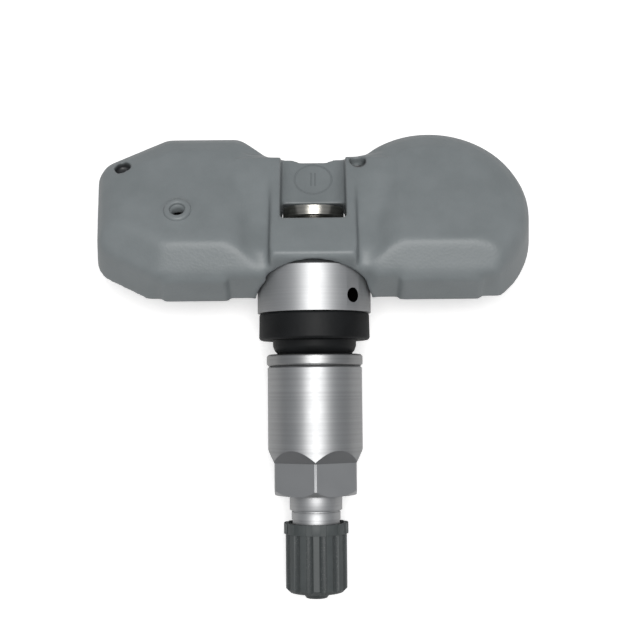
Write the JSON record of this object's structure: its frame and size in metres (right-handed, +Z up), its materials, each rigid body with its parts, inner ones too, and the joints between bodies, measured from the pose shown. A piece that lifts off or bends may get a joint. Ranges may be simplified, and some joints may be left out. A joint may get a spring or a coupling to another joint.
{
  "type": "tyre pressure sensor",
  "caption": "Tyre pressure sensor: a grey moulded transmitter housing tilting on the domed head of a clamp-in aluminium valve with grommet, washer, union nut, valve core and screw cap.",
  "frame": {"origin": "Centre of the grommet flange's outer face on the valve's axis, where the wheel rim's inner face sits. It is also the centre of the valve head's dome, about which the housing tilts.", "axes": "+X along the housing towards its round lobe, +Y along the valve's axis from the cap towards the housing, +Z up, away from the wheel's drop centre side that the housing leans to."},
  "size_m": [0.0664, 0.0697, 0.0209],
  "materials": {
    "housing_plastic": "satin moulded, fine grain",
    "resin": "cast resin",
    "board": "solder mask",
    "battery_steel": "pressed steel can",
    "tab_nickel": "nickel strip",
    "chip_black": "moulded package",
    "seal_rubber": "soft rubber",
    "ferrite": "ferrite and copper winding",
    "capacitor_tan": "fired ceramic",
    "screw_steel": "nickel plated",
    "anodised_aluminium": "turned and anodised",
    "grommet_rubber": "moulded rubber",
    "washer_metal": "stamped",
    "nut_metal": "turned and anodised",
    "core_brass": "turned",
    "gasket_red": "moulded",
    "spring_steel": "drawn wire",
    "cap_plastic": "moulded, ribbed"
  },
  "bodies": {
    "valve": {"valve_body": "anodised_aluminium", "grommet": "grommet_rubber", "core_plug": "core_brass", "core_barrel": "core_brass", "core_gasket": "gasket_red"},
    "sensor": {"housing": "housing_plastic", "potting": "resin", "circuit_board": "board", "battery": "battery_steel", "battery_plus_tab": "tab_nickel", "battery_minus_tab": "tab_nickel", "pressure_chip": "chip_black", "port_seal": "seal_rubber", "radio_chip": "chip_black", "crystal": "tab_nickel", "wake_up_coil": "ferrite", "chip_capacitors": "capacitor_tan"},
    "clamp_slide": {"clamp_washer": "screw_steel"},
    "screw": {"fixing_screw": "screw_steel"},
    "nut_slide": {"rim_washer": "washer_metal"},
    "nut": {"union_nut": "nut_metal"},
    "pin": {"core_pin": "core_brass", "core_seat_seal": "seal_rubber", "core_spring": "spring_steel"},
    "cap_slide": {"cap_seal": "seal_rubber"},
    "cap_turn": {"cap": "cap_plastic"}
  },
  "joints": [
    {"name": "housing_tilt", "type": "hinge", "parent": "valve", "child": "sensor", "pos_m": [0, 0, 0], "axis": [1, 0, 0], "range_deg": [0, 12]},
    {"name": "screw_travel", "type": "slide", "parent": "valve", "child": "clamp_slide", "axis": [0, 1, 0], "range_m": [0, 0.0006]},
    {"name": "screw_turn", "type": "hinge", "parent": "clamp_slide", "child": "screw", "pos_m": [0, 0.0182, 0], "axis": [0, 1, 0], "range_deg": [0, 308.6]},
    {"name": "nut_travel", "type": "slide", "parent": "valve", "child": "nut_slide", "axis": [0, -1, 0], "range_m": [0, 0.003]},
    {"name": "nut_turn", "type": "hinge", "parent": "nut_slide", "child": "nut", "pos_m": [0, -0.0135, 0], "axis": [0, -1, 0], "range_deg": [0, 1360.3]},
    {"name": "core_press", "type": "slide", "parent": "valve", "child": "pin", "axis": [0, 1, 0], "range_m": [0, 0.0008], "stiffness_N_per_m": 400, "springref_m": -0.001},
    {"name": "cap_travel", "type": "slide", "parent": "valve", "child": "cap_slide", "axis": [0, -1, 0], "range_m": [0, 0.0072]},
    {"name": "cap_turn", "type": "hinge", "parent": "cap_slide", "child": "cap_turn", "pos_m": [0, -0.0325, 0], "axis": [0, -1, 0], "range_deg": [0, 3264.6]}
  ],
  "couplings": [
    {"joint": "screw_turn", "follows": "screw_travel", "rad_per_m": 8976},
    {"joint": "nut_turn", "follows": "nut_travel", "rad_per_m": 7913.3},
    {"joint": "cap_turn", "follows": "cap_travel", "rad_per_m": 7913.3}
  ]
}
